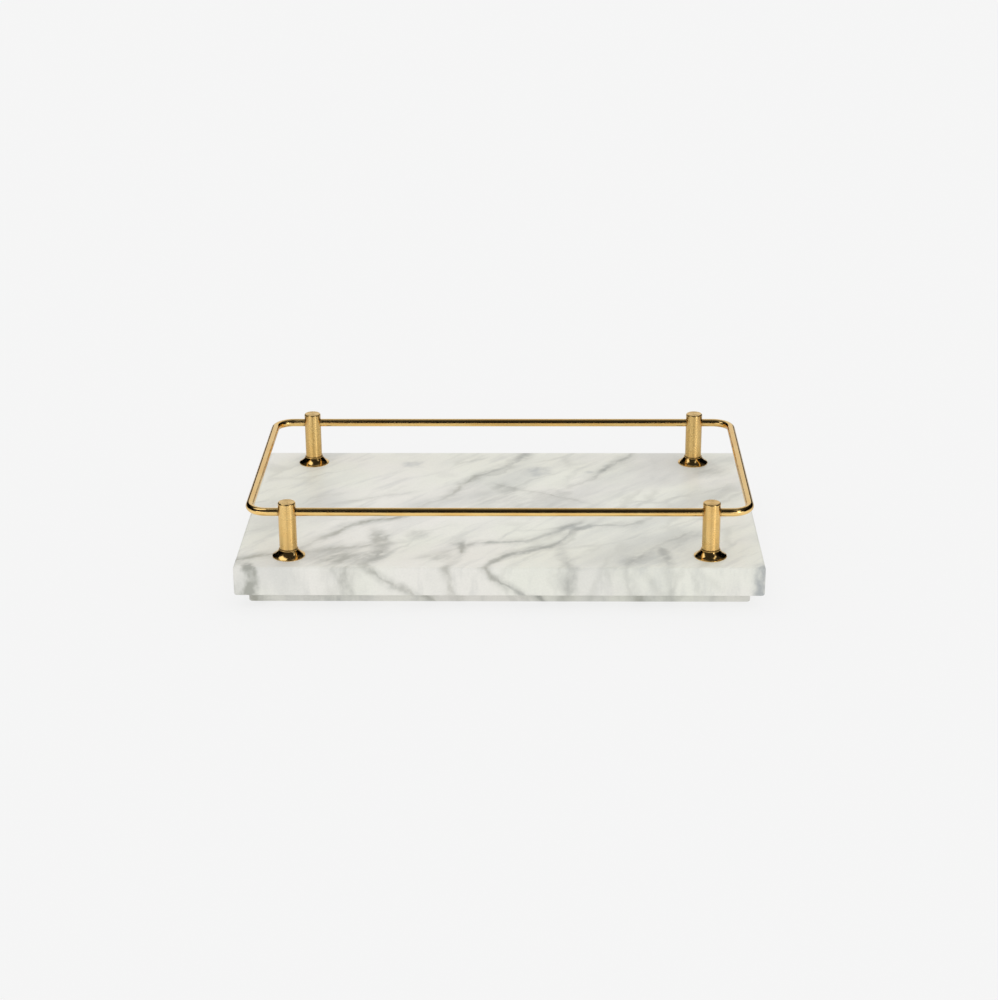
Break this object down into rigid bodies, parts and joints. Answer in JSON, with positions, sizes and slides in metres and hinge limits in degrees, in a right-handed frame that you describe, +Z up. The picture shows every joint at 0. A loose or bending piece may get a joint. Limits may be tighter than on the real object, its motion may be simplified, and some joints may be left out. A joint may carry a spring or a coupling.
{
  "type": "dresser vanity tray",
  "caption": "Rectangular veined marble vanity tray on an inset plinth, with a low polished brass gallery rail on turned posts with flared flanges.",
  "frame": {"origin": "bottom centre: the middle of the tray, on the surface that the felt pads stand on", "axes": "+X to the right along the tray's length, +Y to the back, +Z up"},
  "size_m": [0.305, 0.19, 0.0592],
  "materials": {
    "marble": "honed white marble with soft grey veins",
    "brass": "polished, clear lacquered",
    "steel": "zinc plated",
    "felt": "pressed wool felt"
  },
  "bodies": {
    "root": {"marble_slab": "marble", "marble_plinth": "marble", "gallery_rail": "brass", "post_front_left": "brass", "post_front_right": "brass", "post_back_left": "brass", "post_back_right": "brass", "flange_front_left": "brass", "flange_front_right": "brass", "flange_back_left": "brass", "flange_back_right": "brass", "post_screws": "steel", "screw_washers": "steel", "pad_front_left": "felt", "pad_front_right": "felt", "pad_back_left": "felt", "pad_back_right": "felt"}
  },
  "joints": []
}
